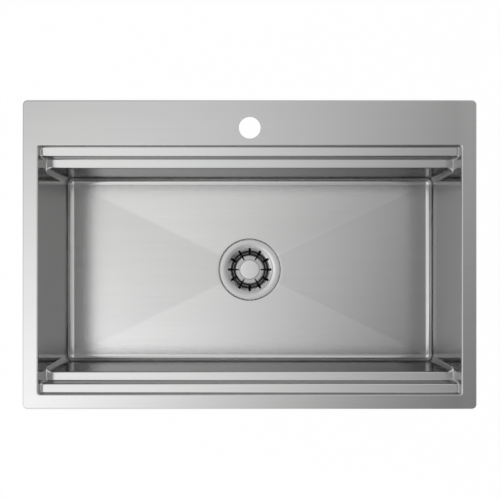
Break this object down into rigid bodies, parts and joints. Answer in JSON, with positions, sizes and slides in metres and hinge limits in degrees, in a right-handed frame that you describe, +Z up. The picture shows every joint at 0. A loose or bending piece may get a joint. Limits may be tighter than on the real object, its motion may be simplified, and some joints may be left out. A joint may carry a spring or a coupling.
{
  "type": "single bowl kitchen sink",
  "caption": "Drop-in stainless kitchen sink: one deep rectangular bowl with stepped ledges, a rear tap deck with a tap hole, and a waste with a lift-out slotted strainer.",
  "frame": {"origin": "on the vertical axis of the bowl and its waste, at the level of the worktop's top face", "axes": "+X to the right seen from the user, +Y away from the user to the tap deck, +Z up"},
  "size_m": [0.735, 0.5, 0.3075],
  "materials": {
    "brushed_sheet": "fine satin brushed stainless steel",
    "pressed_steel": "pressed stainless steel, soft polish",
    "cap_steel": "satin stainless steel",
    "plain_steel": "mill finish stainless steel",
    "zinc_steel": "bright zinc plated steel",
    "foam_seal": "closed cell foam strip",
    "sound_pad": "dense rubber pad, matt",
    "black_rubber": "moulded rubber, matt",
    "slip_ring_plastic": "thin slip ring",
    "nut_plastic": "moulded plastic",
    "white_plastic": "moulded plastic",
    "detent_rubber": "small rubber ring"
  },
  "bodies": {
    "sink": {"deck_plate": "brushed_sheet", "front_wall": "brushed_sheet", "rear_wall": "brushed_sheet", "left_wall": "brushed_sheet", "right_wall": "brushed_sheet", "floor_pan": "brushed_sheet", "tap_hole_plate": "plain_steel", "rim_seal": "foam_seal", "clip_studs": "plain_steel", "clip_claws": "zinc_steel", "clip_washers": "zinc_steel", "clip_nuts": "zinc_steel", "floor_pad": "sound_pad", "front_pad": "sound_pad", "rear_pad": "sound_pad", "left_pad": "sound_pad", "right_pad": "sound_pad", "flange_gasket": "black_rubber", "waste_body": "pressed_steel", "rubber_washer": "black_rubber", "friction_ring": "slip_ring_plastic", "lock_nut": "nut_plastic"},
    "basket": {"basket_dish": "pressed_steel", "stem_guide": "white_plastic", "detent_ring": "detent_rubber"},
    "stopper": {"stopper_cap": "cap_steel", "stopper_stem": "pressed_steel", "seal_disc": "pressed_steel", "stopper_seal": "black_rubber", "seal_screw": "pressed_steel"}
  },
  "joints": [
    {"name": "basket_lift", "type": "slide", "parent": "sink", "child": "basket", "axis": [0, 0, 1], "range_m": [0, 0.3]},
    {"name": "stopper_travel", "type": "slide", "parent": "basket", "child": "stopper", "axis": [0, 0, 1], "range_m": [0, 0.008]}
  ]
}
